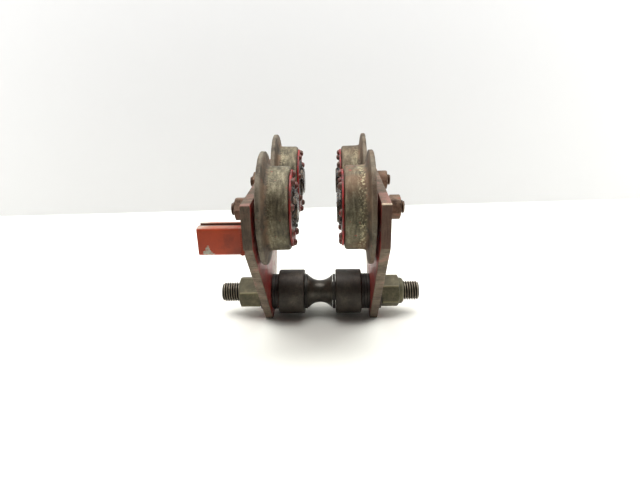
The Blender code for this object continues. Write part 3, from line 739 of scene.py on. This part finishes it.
def make_wheel(station, finishes):
    """A wheel with its cover plate and rivets."""
    side = side_of(station)
    body = "wheel_" + station
    number = STATIONS.index(station)
    place = axle_place(station)
    direction = INWARD[side]
    bm = moved(faced(turned(subdivided(wheel_outline(), 1.5 * MM), 168), direction), place)
    wear(bm, 0.28 * MM, 9.0 * MM, number)
    wear(bm, 0.10 * MM, 1.6 * MM, number + 10)
    steel = wheel_steel(station, BRASSY_SHARE[station], BROWN_SHARE[station])
    piece("worn_wheel_" + station, bm, [steel], body, ["wheel_" + station])
    cover = rounded([
        (COVER_BACK, 16.1 * MM, 0.0),
        (COVER_BACK, COVER_RADIUS, 0.2 * MM),
        (COVER_FACE, COVER_RADIUS, 0.6 * MM),
        (COVER_FACE, 19.0 * MM, 0.8 * MM),
        (COVER_FACE + 0.5 * MM, 17.6 * MM, 0.5 * MM),
        (COVER_FACE + 0.5 * MM, 16.1 * MM, 0.3 * MM),
    ], 4)
    bm = moved(faced(turned(subdivided(cover, 1.5 * MM), 160), direction), place)
    piece("painted_cover_" + station, bm, [cover_paint(station)], body, ["cover_plate_" + station])
    heads = []
    for rivet in range(8):
        angle = math.tau * rivet / 8 + math.radians(WHEEL_TURN[station])
        head = rivet_head(3.5 * MM, 3.1 * MM, number * 8 + rivet)
        circle = 29.9 * MM
        offset = Vector((COVER_FACE, -circle * math.cos(angle), circle * math.sin(angle)))
        heads.append(moved(head, offset))
    bm = gather(heads)
    if direction < 0.0:
        bmesh.ops.scale(bm, verts=bm.verts, vec=(-1.0, 1.0, 1.0))
    moved(bm, place)
    piece("rivets_" + station, bm, [finishes["rivet"]], body, ())


def make_axle(station, finishes):
    """Axle stud with its greasy head, thread end, nut and spring washer."""
    side = side_of(station)
    body = side + "_side"
    number = STATIONS.index(station)
    place = axle_place(station)
    direction = INWARD[side]
    top = AXLE_HEAD_FACE
    head = rounded([
        (top - 1.1 * MM, 0.0, 0.0),
        (top - 0.2 * MM, 2.2 * MM, 0.3 * MM),
        (top - 0.2 * MM, 8.6 * MM, 0.5 * MM),
        (top - 1.7 * MM, 9.2 * MM, 0.4 * MM),
        (top - 1.7 * MM, 10.6 * MM, 0.4 * MM),
        (top, 11.0 * MM, 0.4 * MM),
        (top, 12.8 * MM, 0.5 * MM),
        (top - 1.2 * MM, 13.4 * MM, 0.5 * MM),
        (top - 1.6 * MM, AXLE_HEAD_RADIUS, 0.8 * MM),
        (28.0 * MM, AXLE_HEAD_RADIUS, 0.3 * MM),
        (28.0 * MM, 9.7 * MM, 0.0),
        (0.3 * MM, 9.7 * MM, 0.3 * MM),
        (0.3 * MM, 5.0 * MM, 0.0),
        (-12.0 * MM, 5.0 * MM, 0.0),
        (-12.0 * MM, 0.0, 0.0),
    ], 4)
    bm = moved(faced(turned(head, 96), direction), place)
    piece("axle_head_" + station, bm, [finishes["hub"]], body, ["axle_stud_" + station])
    thread = threaded(11.0 * MM, -AXLE_END, 6.0 * MM, 1.05 * MM, 1.75 * MM, 1.0 * MM, 48)
    thread = moved(faced(thread, -direction), place)
    piece("axle_thread_" + station, thread, [finishes["axle_thread"][station]], body, (), 40.0)
    rng = random.Random(40 + number)
    lumps = []
    head = AXLE_HEAD_FACE - 1.4 * MM
    for lump in range(48):
        angle = rng.uniform(0.0, math.tau)
        off, level = rng.choice((
            (rng.uniform(8.0, 13.0), head),
            (rng.uniform(14.6, 15.4), rng.uniform(COVER_FACE, head)),
            (rng.uniform(16.0, 21.0), COVER_FACE),
        ))
        off *= MM
        at = Vector((level, off * math.cos(angle), off * math.sin(angle)))
        lumps.append(grease_lump(at, rng.uniform(0.7, 2.0) * MM, rng.uniform(0.5, 0.8), lump + number * 31))
    bm = moved(faced(gather(lumps), direction), place)
    piece("hub_grease_" + station, bm, [finishes["grease"]], body, (), 80.0)
    outer = -reach("axle_nut_" + station, station)[1]
    height = 9.7 * MM
    flats = 18.6 * MM
    corner = flats / math.sqrt(3)
    nut = hex_nut([
        (0.0, 5.9 * MM, 0.0),
        (0.0, flats / 2, 0.2 * MM),
        (0.7 * MM, corner, 0.2 * MM),
        (height - 0.6 * MM, corner, 0.2 * MM),
        (height, flats / 2, 0.2 * MM),
        (height, 6.9 * MM, 0.2 * MM),
        (height - 0.9 * MM, 5.9 * MM, 0.0),
    ], flats, 72)
    faced(nut, -direction)
    turn = Matrix.Rotation(math.radians(-AXLE_NUT_TURN[station]), 3, "X")
    bmesh.ops.rotate(nut, verts=nut.verts, cent=(0, 0, 0), matrix=turn)
    moved(nut, place - Vector((direction * outer, 0.0, 0.0)))
    piece("rusty_nut_" + station, nut, [finishes["rusty"]], body, ["axle_nut_" + station])
    _, high = reach("lock_washer_" + station, station)
    ring = rounded([
        (0.0, 6.4 * MM, 0.2 * MM),
        (0.0, 10.3 * MM, 0.3 * MM),
        (2.4 * MM, 10.3 * MM, 0.3 * MM),
        (2.4 * MM, 6.4 * MM, 0.2 * MM),
    ], 2)
    washer = turned(ring, 60, math.radians(346.0), 0.35 * MM)
    washer = moved(faced(washer, -direction), place + Vector((direction * high, 0.0, 0.0)))
    piece("spring_washer_" + station, washer, [finishes["rusty"]], body, ["lock_washer_" + station])
    for node in ("outer_race_", "inner_race_", "ball_cage_"):
        repaint(node + station, finishes["ground"])
    repaint("axle_spacer_" + station, finishes["hub"])


def repaint(node, finish):
    """Give a carried-over solid a better finish."""
    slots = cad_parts[node].data.materials
    slots.clear()
    slots.append(finish)


BRASSY_SHARE = {"front_left": 0.25, "rear_left": 0.55, "front_right": 0.95, "rear_right": 0.4}
BROWN_SHARE = {"front_left": 0.08, "rear_left": 0.12, "front_right": 0.55, "rear_right": 0.30}
AXLE_NUT_TURN = {"front_left": 8.0, "rear_left": 24.0, "front_right": -14.0, "rear_right": 5.0}

# ---------------------------------------------------------------- load bolt and what is on it


def on_bolt(name, corners, node, finish, body="left_side", facets=128, sharp=32.0, sink=0.0):
    """A turned piece on the load bolt, given from the lower X end of its node."""
    low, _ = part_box(node)
    bm = turned(subdivided(rounded(corners, 3), 2.5 * MM), facets)
    if sink:
        wear(bm, sink, 5.0 * MM, len(name))
    moved(bm, (low.x, 0.0, BOLT_HEIGHT))
    return piece(name, bm, [finish], body, [node], sharp)


def make_washer(node, finish):
    low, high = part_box(node)
    thick = high.x - low.x
    radius = half_width(node)
    corners = [
        (0.0, 10.5 * MM, 0.2 * MM),
        (0.0, radius, 0.35 * MM),
        (thick, radius, 0.35 * MM),
        (thick, 10.5 * MM, 0.2 * MM),
    ]
    on_bolt("plain_" + node, corners, node, finish, facets=96)


def make_collar(side, finish):
    node = "spacer_collar_" + side
    low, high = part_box(node)
    length = high.x - low.x
    radius = half_width(node)
    corners = [
        (0.0, 10.6 * MM, 0.3 * MM),
        (0.0, radius - 0.9 * MM, 0.25 * MM),
        (0.9 * MM, radius, 0.4 * MM),
        (length - 0.9 * MM, radius, 0.4 * MM),
        (length, radius - 0.9 * MM, 0.25 * MM),
        (length, 10.6 * MM, 0.3 * MM),
    ]
    on_bolt("turned_collar_" + side, corners, node, finish, "collar_" + side, 144,
            sink=0.05 * MM)


def make_bobbin(finish):
    low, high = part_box("hook_bobbin")
    half = (high.x - low.x) / 2
    rim = half_width("hook_bobbin")
    waist = 11.6 * MM
    depth = rim - waist
    groove_half = half - 0.9 * MM
    arc = (groove_half ** 2 + depth ** 2) / (2 * depth)
    spread = math.asin(groove_half / arc)
    corners = [(0.0, 10.5 * MM, 0.2 * MM), (0.0, rim, 0.3 * MM)]
    for step in range(25):
        angle = -spread + 2 * spread * step / 24
        edge = 0.5 * MM if step in (0, 24) else 0.0
        corners.append((half + arc * math.sin(angle), waist + arc - arc * math.cos(angle), edge))
    corners += [(2 * half, rim, 0.3 * MM), (2 * half, 10.5 * MM, 0.2 * MM)]
    on_bolt("grooved_bobbin", corners, "hook_bobbin", finish, "hook_bobbin", 144,
            sink=0.06 * MM)


def make_load_bolt(finishes):
    _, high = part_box("load_bolt")
    inner = 66.5 * MM
    shank = [
        (-inner, 0.0, 0.0),
        (-inner, BOLT_RADIUS - 0.1 * MM, 0.2 * MM),
        (inner, BOLT_RADIUS - 0.1 * MM, 0.2 * MM),
        (inner, 0.0, 0.0),
    ]
    bm = moved(turned(rounded(shank, 2), 64), BOLT_MIDDLE)
    piece("bolt_shank", bm, [finishes["oxide"]], "left_side", ["load_bolt"])
    for side, direction in (("left", -1.0), ("right", 1.0)):
        thread = threaded(inner + 0.1 * MM, high.x, BOLT_RADIUS, 1.5 * MM, 2.5 * MM, 1.6 * MM, 72)
        turn = Matrix.Rotation(math.radians(40.0), 3, "X")
        bmesh.ops.rotate(thread, verts=thread.verts, cent=(0, 0, 0), matrix=turn)
        bm = moved(faced(thread, direction), BOLT_MIDDLE)
        piece("bolt_thread_" + side, bm, [finishes["thread"]], "left_side", (), 40.0)


def make_load_nut(side, finishes):
    """Left: a plain high nut. Right: a nut with a round collar that holds a locking ring."""
    node = "load_nut_" + side
    low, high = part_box(node)
    outward = -INWARD[side]
    flats = 30.0 * MM
    corner = flats / math.sqrt(3)
    bore = BOLT_RADIUS + 0.12 * MM
    height = high.x - low.x
    hexagon = height if side == "left" else height - 4.8 * MM
    corners = [
        (0.0, bore, 0.0),
        (0.0, flats / 2 - 0.2 * MM, 0.3 * MM),
        (1.3 * MM, corner, 0.3 * MM),
        (hexagon - 1.4 * MM, corner, 0.3 * MM),
        (hexagon, flats / 2 - 0.7 * MM, 0.4 * MM),
    ]
    if side == "left":
        corners += [(hexagon, bore + 1.0 * MM, 0.2 * MM), (hexagon - 1.1 * MM, bore, 0.0)]
    else:
        corners += [
            (hexagon + 0.2 * MM, 13.7 * MM, 0.4 * MM),
            (hexagon + 2.9 * MM, 13.5 * MM, 1.4 * MM),
            (height, 11.9 * MM, 0.8 * MM),
            (height - 0.1 * MM, 11.1 * MM, 0.2 * MM),
            (height - 1.3 * MM, 10.9 * MM, 0.0),
            (height - 1.3 * MM, bore, 0.0),
        ]
    nut = hex_nut(corners, flats, 120)
    wear(nut, 0.12 * MM, 4.0 * MM, len(side))
    faced(nut, outward)
    turn = Matrix.Rotation(math.radians(-LOAD_NUT_TURN[side]), 3, "X")
    bmesh.ops.rotate(nut, verts=nut.verts, cent=(0, 0, 0), matrix=turn)
    start = low.x if outward > 0.0 else high.x
    moved(nut, (start, 0.0, BOLT_HEIGHT))
    piece("plated_nut_" + side, nut, [finishes["plated"][side]], "left_side", [node], 24.0)
    if side == "left":
        return
    insert = [
        (height - 4.0 * MM, bore - 0.05 * MM, 0.0),
        (height - 4.0 * MM, 10.85 * MM, 0.0),
        (height - 1.0 * MM, 10.85 * MM, 0.2 * MM),
        (height - 1.0 * MM, bore - 0.05 * MM, 0.2 * MM),
    ]
    ring = moved(faced(turned(rounded(insert, 2), 96), outward), (start, 0.0, BOLT_HEIGHT))
    piece("nylon_ring_" + side, ring, [finishes["nylon"]], "left_side", ())


# ---------------------------------------------------------------- side plates and tow arm


def cut_hole(obj, place, radius):
    """Cut a round hole through a plate."""
    bm = bmesh.new()
    bmesh.ops.create_cone(bm, cap_ends=True, segments=64, radius1=radius, radius2=radius,
                          depth=6 * PLATE_THICK)
    bmesh.ops.rotate(bm, verts=bm.verts, cent=(0, 0, 0), matrix=Matrix.Rotation(math.pi / 2, 3, "Y"))
    moved(bm, place)
    mesh = bpy.data.meshes.new("hole")
    bm.to_mesh(mesh)
    bm.free()
    cutter = bpy.data.objects.new("hole", mesh)
    bpy.context.scene.collection.objects.link(cutter)
    modifier = obj.modifiers.new("hole", "BOOLEAN")
    modifier.object = cutter
    modifier.solver = "EXACT"
    bpy.context.view_layer.update()
    evaluated = obj.evaluated_get(bpy.context.evaluated_depsgraph_get())
    cut = bpy.data.meshes.new_from_object(evaluated)
    obj.modifiers.clear()
    obj.data = cut
    bpy.data.objects.remove(cutter)


def extrude_along_x(bm, faces, distance):
    """Extrude flat faces along X; returns the new faces."""
    edges = {edge for face in faces for edge in face.edges}
    grown = bmesh.ops.extrude_face_region(bm, geom=faces + list(edges))
    verts = [item for item in grown["geom"] if isinstance(item, bmesh.types.BMVert)]
    bmesh.ops.translate(bm, verts=verts, vec=(distance, 0.0, 0.0))
    return [item for item in grown["geom"] if isinstance(item, bmesh.types.BMFace)]


def make_plate(side, finishes):
    """A side plate with torch-cut edges."""
    low, high = PLATE_BOX[side]
    foot = 13.0 * MM
    outline = [
        (-foot, 0.0),
        (foot, 0.0),
        (high.y, SHOULDER),
        (high.y, high.z),
        (low.y, high.z),
        (low.y, SHOULDER),
    ]
    bm = bmesh.new()
    bm.faces.new([bm.verts.new((low.x, y, z)) for y, z in outline])
    round_off(bm, bm.verts[:], "VERTICES", 1.1 * MM, 4)
    for edge in list(bm.edges):
        cuts = int(edge.calc_length() / (0.9 * MM))
        if cuts > 1:
            bmesh.ops.subdivide_edges(bm, edges=[edge], cuts=cuts)
    faces = bm.faces[:]
    layers = 8
    for _ in range(layers):
        faces = extrude_along_x(bm, faces, PLATE_THICK / layers)
    bmesh.ops.recalc_face_normals(bm, faces=bm.faces)
    bm.normal_update()
    inside = Vector((0.0, 0.0, 0.6 * (low.z + high.z)))
    shift = 3.0 if side == "left" else 11.0
    for vert in bm.verts:
        flat = Vector((0.0, vert.co.y, vert.co.z))
        inwards = (inside - flat).normalized()
        drag = (vert.co.x - low.x) / PLATE_THICK
        lines = noise.noise(Vector((drag * 0.5 + shift, vert.co.y / (1.5 * MM), vert.co.z / (1.5 * MM))))
        spot = Vector((drag * 1.2, vert.co.y / (9.0 * MM), vert.co.z / (9.0 * MM)))
        waves = noise.fractal(spot, 1.0, 2.0, 3)
        floor = min(1.0, vert.co.z / (1.0 * MM))
        sink = (0.10 * MM * (1.0 + lines) + 0.16 * MM * (1.0 + waves)) * floor
        vert.co += inwards * sink
    rim = []
    for edge in bm.edges:
        flat_faces = [face for face in edge.link_faces if abs(face.normal.x) > 0.9]
        if len(flat_faces) == 1:
            rim.append(edge)
    round_off(bm, rim, "EDGES", 0.45 * MM, 2)
    for face in bm.faces:
        face.material_index = 0 if abs(face.normal.x) > 0.97 else 1
    obj = piece("cut_plate_" + side, bm, [finishes["plate"], finishes["edge"]], side + "_side",
                ["side_plate_" + side], 40.0)
    cut_hole(obj, ((low.x + high.x) / 2, 0.0, BOLT_HEIGHT), 11.0 * MM)
    for station in STATIONS:
        if side_of(station) == side:
            place = axle_place(station)
            cut_hole(obj, ((low.x + high.x) / 2, place.y, place.z), 6.5 * MM)


def make_tow_arm(finishes):
    """Lipped channel bent from sheet, open at its end and along its top."""
    low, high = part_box("tow_arm")
    sheet = 2.4 * MM
    front_lip = 8.0 * MM
    rear_lip = 5.0 * MM
    outline = [
        (low.y, low.z),
        (high.y, low.z),
        (high.y, high.z),
        (high.y - rear_lip, high.z),
        (high.y - rear_lip, high.z - sheet),
        (high.y - sheet, high.z - sheet),
        (high.y - sheet, low.z + sheet),
        (low.y + sheet, low.z + sheet),
        (low.y + sheet, high.z - sheet),
        (low.y + front_lip, high.z - sheet),
        (low.y + front_lip, high.z),
        (low.y, high.z),
    ]
    outer = (0, 1, 2, 11)
    inner = (5, 6, 7, 8)
    bm = bmesh.new()
    verts = [bm.verts.new((high.x, y, z)) for y, z in outline]
    bm.faces.new(verts)
    for corners, radius in ((outer, 2.6 * MM), (inner, 0.9 * MM), ((3, 4, 9, 10), 0.4 * MM)):
        round_off(bm, [verts[index] for index in corners], "VERTICES", radius, 5)
    faces = bm.faces[:]
    steps = 12
    for _ in range(steps):
        faces = extrude_along_x(bm, faces, (low.x - high.x) / steps)
    bmesh.ops.recalc_face_normals(bm, faces=bm.faces)
    rim = []
    for edge in bm.edges:
        ends = [face for face in edge.link_faces if abs(face.normal.x) > 0.9]
        if len(ends) == 1 and edge.verts[0].co.x < low.x + MM:
            rim.append(edge)
    round_off(bm, rim, "EDGES", 0.3 * MM, 2)
    piece("channel_arm", bm, [finishes["arm"]], "left_side", ["tow_arm"], 30.0)
    beads = []
    for height in range(15):
        for y in (low.y + 0.8 * MM, high.y + 0.6 * MM):
            bead = bmesh.new()
            bmesh.ops.create_icosphere(bead, subdivisions=3, radius=1.0)
            bmesh.ops.scale(bead, verts=bead.verts, vec=(2.1 * MM, 1.5 * MM, 1.3 * MM))
            at_z = low.z + 0.8 * MM + (high.z - low.z - 1.6 * MM) * height / 14
            beads.append(moved(bead, (high.x - 0.2 * MM, y, at_z)))
    bead = gather(beads)
    wear(bead, 0.25 * MM, 1.2 * MM, 5)
    piece("arm_weld", bead, [finishes["arm"]], "left_side", (), 80.0)


# ---------------------------------------------------------------- floor, walls, lights and camera


def plain_board(name, corners, colour):
    """A flat board of the studio, through four corners."""
    bm = bmesh.new()
    bm.faces.new([bm.verts.new(corner) for corner in corners])
    mesh = bpy.data.meshes.new(name)
    bm.to_mesh(mesh)
    bm.free()
    f = Finish(name)
    mesh.materials.append(f.surface(colour, 0.85, 0.0))
    obj = bpy.data.objects.new(name, mesh)
    bpy.context.scene.collection.objects.link(obj)
    return obj


def area_light(name, place, aim, size, watts, colour=(1.0, 1.0, 1.0)):
    data = bpy.data.lights.new(name, "AREA")
    data.shape = "RECTANGLE"
    data.size = size[0]
    data.size_y = size[1]
    data.energy = watts
    data.color = colour
    obj = bpy.data.objects.new(name, data)
    obj.location = place
    obj.rotation_mode = "QUATERNION"
    obj.rotation_quaternion = (Vector(aim) - Vector(place)).to_track_quat("-Z", "Y")
    bpy.context.scene.collection.objects.link(obj)


def make_studio():
    """Pale floor and back wall, soft lights."""
    wide = 4.0
    slope = 0.052
    left, right = (-wide, 0.40 - slope * wide), (wide, 0.40 + slope * wide)
    level = -0.0002
    plain_board("floor", [(-wide, -wide, level), (wide, -wide, level), (*right, level), (*left, level)],
                (0.82, 0.82, 0.755))
    plain_board("back_wall", [(*left, level), (*right, level), (*right, wide), (*left, wide)],
                (0.554, 0.554, 0.560))
    area_light("top_light", (0.0, 0.06, 1.0), (0.0, 0.06, 0.0), (2.4, 0.62), 28.5)
    for across in (-1.0, 1.0):
        area_light("side_light", (across, 0.15, 0.4), (0.0, 0.0, 0.05), (0.7, 0.9), 7.0)
    world = bpy.data.worlds.new("studio_air")
    world.use_nodes = True
    sky = world.node_tree.nodes["Background"]
    sky.inputs["Color"].default_value = (1.0, 1.0, 1.0, 1.0)
    sky.inputs["Strength"].default_value = 0.07
    bpy.context.scene.world = world
    bpy.context.scene.view_settings.view_transform = "Standard"


def make_camera():
    """Camera in front of the trolley, looking a little down along the beam."""
    place = Vector((13.6, -448.5, 248.8)) * MM
    pitch = math.radians(-20.30)
    yaw = math.radians(-1.63)
    roll = math.radians(-1.19)
    ahead = Vector((math.sin(yaw) * math.cos(pitch), math.cos(yaw) * math.cos(pitch), math.sin(pitch)))
    level = ahead.cross(Vector((0.0, 0.0, 1.0))).normalized()
    upright = level.cross(ahead)
    across = math.cos(roll) * level + math.sin(roll) * upright
    up = -math.sin(roll) * level + math.cos(roll) * upright
    data = bpy.data.cameras.new("camera")
    data.lens = 26.4
    data.sensor_width = 36.0
    data.clip_start = 0.01
    obj = bpy.data.objects.new("camera", data)
    turn = Matrix((across, up, -ahead)).transposed().to_4x4()
    obj.matrix_world = Matrix.Translation(place) @ turn
    bpy.context.scene.collection.objects.link(obj)
    bpy.context.scene.camera = obj


# ---------------------------------------------------------------- the trolley

make_camera()
make_studio()
oxide = oxide_steel("oxide_collar", OXIDE, 0.42)
finishes = {
    "rivet": rivet_paint(),
    "hub": hub_steel(),
    "grease": black_grease(),
    "plate": plate_paint(),
    "edge": cut_edge(),
    "arm": arm_paint(),
    "rusty": rusty_steel(),
    "oxide": oxide,
    "washer": oxide_steel("oxide_washer", (0.030, 0.025, 0.021), 0.40),
    "plated": {side: plated_steel(side) for side in INWARD},
    "thread": thread_steel("bolt_thread", BOLT_MIDDLE, 8.5 * MM, BOLT_RADIUS,
                           (0.012, 0.010, 0.007), (0.33, 0.29, 0.22)),
    "nylon": nylon_ring(),
    "ground": ground_steel(),
    "axle_thread": {
        station: thread_steel("axle_thread_" + station, axle_place(station), 4.95 * MM, 6.0 * MM,
                              (0.058, 0.032, 0.020), (0.185, 0.120, 0.078))
        for station in STATIONS
    },
}
for side in INWARD:
    make_plate(side, finishes)
    make_collar(side, oxide)
    make_load_nut(side, finishes)
make_tow_arm(finishes)
make_bobbin(oxide_steel("oxide_bobbin", (0.055, 0.047, 0.035), 0.27))
make_load_bolt(finishes)
for node in sorted(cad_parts):
    if node.startswith(("inner_washer", "outer_washer", "bobbin_washer")):
        make_washer(node, finishes["washer"])
for station in STATIONS:
    make_wheel(station, finishes)
    make_axle(station, finishes)
